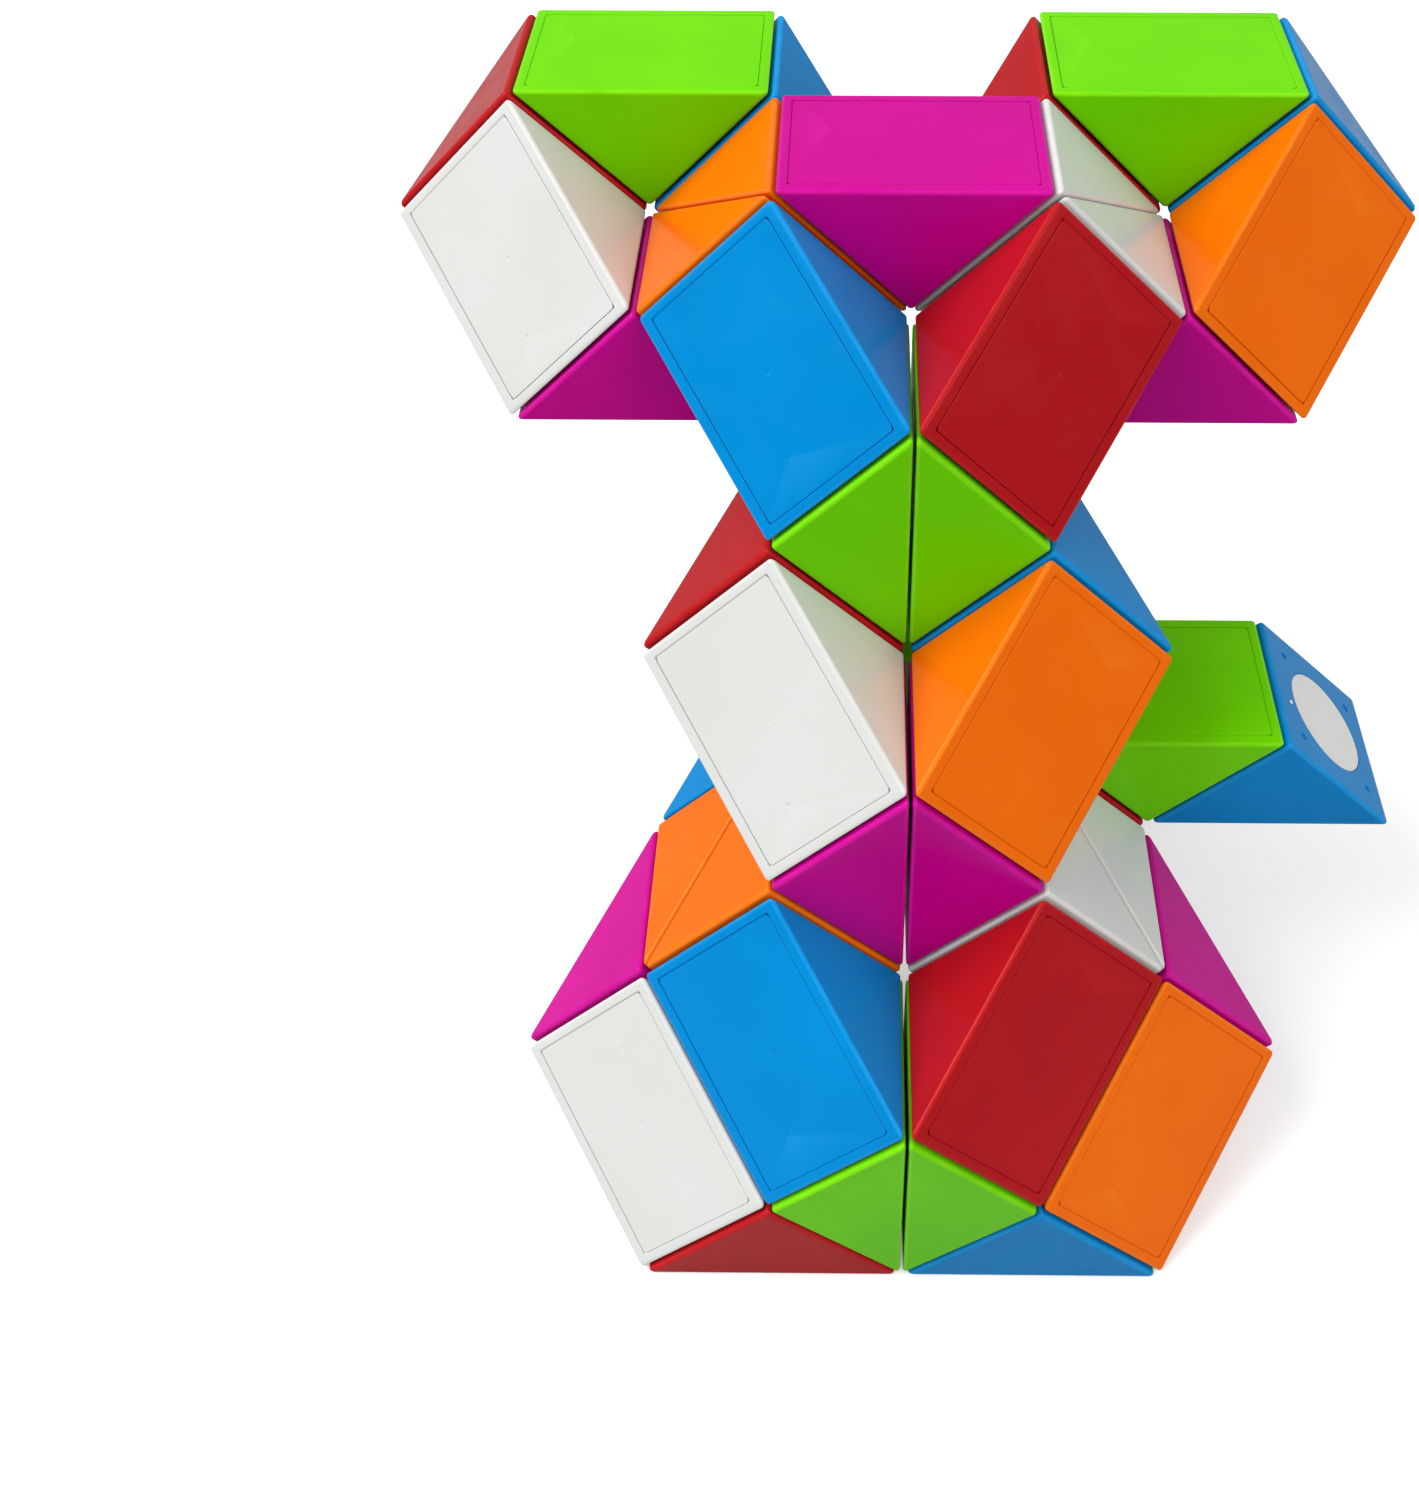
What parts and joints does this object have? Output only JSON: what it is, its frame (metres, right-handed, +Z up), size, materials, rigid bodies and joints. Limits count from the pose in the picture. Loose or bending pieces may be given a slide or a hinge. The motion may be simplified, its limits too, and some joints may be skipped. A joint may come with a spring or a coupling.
{
  "type": "folding snake puzzle",
  "caption": "Folding snake puzzle of half-cube wedges on swivels, folded into a standing figure with two ears and a tail.",
  "frame": {"origin": "on the surface that the figure stands on, under the middle of its bounding box", "axes": "+X towards the tail, along the ears' line, the longest extent; -Y is the figure's front; +Z up"},
  "size_m": [0.1048, 0.0936, 0.0928],
  "materials": {
    "plastic_blue": "satin moulded blue ABS",
    "plastic_green": "satin moulded lime green ABS",
    "plastic_red": "satin moulded dark red ABS",
    "plastic_white": "satin moulded white ABS",
    "plastic_magenta": "satin moulded magenta ABS",
    "plastic_orange": "satin moulded orange ABS",
    "plug_white": "satin moulded white ABS"
  },
  "bodies": {
    "section_01": {"wedge_01_blue": "plastic_blue", "tail_plug_white": "plug_white"},
    "section_02": {"wedge_02_green": "plastic_green"},
    "section_03": {"wedge_03_red": "plastic_red"},
    "section_04_12": {"wedge_04_white": "plastic_white", "wedge_05_magenta": "plastic_magenta", "wedge_06_orange": "plastic_orange", "wedge_07_blue": "plastic_blue", "wedge_08_green": "plastic_green", "wedge_09_red": "plastic_red", "wedge_10_white": "plastic_white", "wedge_11_magenta": "plastic_magenta", "wedge_12_orange": "plastic_orange"},
    "section_13": {"wedge_13_blue": "plastic_blue"},
    "section_14_15": {"wedge_14_green": "plastic_green", "wedge_15_red": "plastic_red"},
    "section_16_17": {"wedge_16_white": "plastic_white", "wedge_17_magenta": "plastic_magenta"},
    "section_18_19": {"wedge_18_orange": "plastic_orange", "wedge_19_blue": "plastic_blue"},
    "section_20": {"wedge_20_green": "plastic_green"},
    "section_21_22": {"wedge_21_red": "plastic_red", "wedge_22_white": "plastic_white"},
    "section_23_25": {"wedge_23_magenta": "plastic_magenta", "wedge_24_orange": "plastic_orange", "wedge_25_blue": "plastic_blue"},
    "section_26_27": {"wedge_26_green": "plastic_green", "wedge_27_red": "plastic_red"},
    "section_28": {"wedge_28_white": "plastic_white"},
    "section_29_30": {"wedge_29_magenta": "plastic_magenta", "wedge_30_orange": "plastic_orange"},
    "section_31_33": {"wedge_31_blue": "plastic_blue", "wedge_32_green": "plastic_green", "wedge_33_red": "plastic_red"},
    "section_34_38": {"wedge_34_white": "plastic_white", "wedge_35_magenta": "plastic_magenta", "wedge_36_orange": "plastic_orange", "wedge_37_blue": "plastic_blue", "wedge_38_green": "plastic_green"},
    "section_39_42": {"wedge_39_red": "plastic_red", "wedge_40_white": "plastic_white", "wedge_41_magenta": "plastic_magenta", "wedge_42_orange": "plastic_orange"},
    "section_43_44": {"wedge_43_blue": "plastic_blue", "wedge_44_green": "plastic_green"},
    "section_45": {"wedge_45_red": "plastic_red"},
    "section_46": {"wedge_46_white": "plastic_white"},
    "section_47": {"wedge_47_magenta": "plastic_magenta"},
    "section_48": {"wedge_48_orange": "plastic_orange", "rear_plug_white": "plug_white"}
  },
  "joints": [
    {"name": "swivel_01", "type": "hinge", "parent": "section_02", "child": "section_01", "pos_m": [0.03323, 0, 0.03308], "axis": [0.7071, 0, -0.7071], "continuous": true},
    {"name": "swivel_02", "type": "hinge", "parent": "section_03", "child": "section_02", "pos_m": [0.01994, 0, 0.03308], "axis": [0.7071, 0, 0.7071], "range_deg": [-90, 90]},
    {"name": "swivel_03", "type": "hinge", "parent": "section_04_12", "child": "section_03", "pos_m": [0.01329, -0.0094, 0.02644], "axis": [0, 1, 0], "range_deg": [0, 90]},
    {"name": "swivel_12", "type": "hinge", "parent": "section_04_12", "child": "section_13", "pos_m": [0.01329, -0.0094, 0.05302], "axis": [0, 1, 0], "range_deg": [0, 90]},
    {"name": "swivel_13", "type": "hinge", "parent": "section_13", "child": "section_14_15", "pos_m": [0.00665, 0, 0.05967], "axis": [-0.7071, 0, 0.7071], "range_deg": [-90, 0]},
    {"name": "swivel_15", "type": "hinge", "parent": "section_14_15", "child": "section_16_17", "pos_m": [0.01329, 0.0094, 0.07961], "axis": [0, 1, 0], "range_deg": [0, 180]},
    {"name": "swivel_17", "type": "hinge", "parent": "section_16_17", "child": "section_18_19", "pos_m": [0.03323, 0.0188, 0.07297], "axis": [0.7071, 0, 0.7071], "range_deg": [-90, 0]},
    {"name": "swivel_19", "type": "hinge", "parent": "section_18_19", "child": "section_20", "pos_m": [0.03323, 0.0376, 0.08626], "axis": [-0.7071, 0, 0.7071], "range_deg": [-270, 0]},
    {"name": "swivel_20", "type": "hinge", "parent": "section_20", "child": "section_21_22", "pos_m": [0.01994, 0.0376, 0.08626], "axis": [-0.7071, 0, -0.7071], "range_deg": [0, 180]},
    {"name": "swivel_22", "type": "hinge", "parent": "section_21_22", "child": "section_23_25", "pos_m": [0.00665, 0.0188, 0.08626], "axis": [-0.7071, 0, 0.7071], "range_deg": [-90, 0]},
    {"name": "swivel_25", "type": "hinge", "parent": "section_23_25", "child": "section_26_27", "pos_m": [-0.01994, 0.0376, 0.08626], "axis": [0.7071, 0, -0.7071], "range_deg": [0, 180]},
    {"name": "swivel_27", "type": "hinge", "parent": "section_26_27", "child": "section_28", "pos_m": [-0.03988, 0.0282, 0.07961], "axis": [0, 1, 0], "range_deg": [0, 270]},
    {"name": "swivel_28", "type": "hinge", "parent": "section_28", "child": "section_29_30", "pos_m": [-0.03323, 0.0188, 0.07297], "axis": [-0.7071, 0, 0.7071], "range_deg": [-180, 0]},
    {"name": "swivel_30", "type": "hinge", "parent": "section_29_30", "child": "section_31_33", "pos_m": [-0.01329, 0.0094, 0.07961], "axis": [0, -1, 0], "range_deg": [-180, 0]},
    {"name": "swivel_33", "type": "hinge", "parent": "section_31_33", "child": "section_34_38", "pos_m": [-0.01329, -0.0094, 0.05302], "axis": [0, -1, 0], "range_deg": [-90, 0]},
    {"name": "swivel_38", "type": "hinge", "parent": "section_34_38", "child": "section_39_42", "pos_m": [-0.00665, -0.0376, 0.0065], "axis": [0.7071, 0, 0.7071], "range_deg": [-270, 0]},
    {"name": "swivel_42", "type": "hinge", "parent": "section_39_42", "child": "section_43_44", "pos_m": [-0.01329, -0.0094, 0.02644], "axis": [0, -1, 0], "range_deg": [-180, 90]},
    {"name": "swivel_44", "type": "hinge", "parent": "section_43_44", "child": "section_45", "pos_m": [0, 0.0094, 0.03973], "axis": [0, 1, 0], "range_deg": [-90, 90]},
    {"name": "swivel_45", "type": "hinge", "parent": "section_45", "child": "section_46", "pos_m": [0.00665, 0.0188, 0.03308], "axis": [0.7071, 0, -0.7071], "range_deg": [0, 180]},
    {"name": "swivel_46", "type": "hinge", "parent": "section_46", "child": "section_47", "pos_m": [0.00665, 0.0188, 0.01979], "axis": [0.7071, 0, 0.7071], "range_deg": [-90, 180]},
    {"name": "swivel_47", "type": "hinge", "parent": "section_47", "child": "section_48", "pos_m": [0.00665, 0.0188, 0.0065], "axis": [0.7071, 0, -0.7071], "continuous": true}
  ]
}
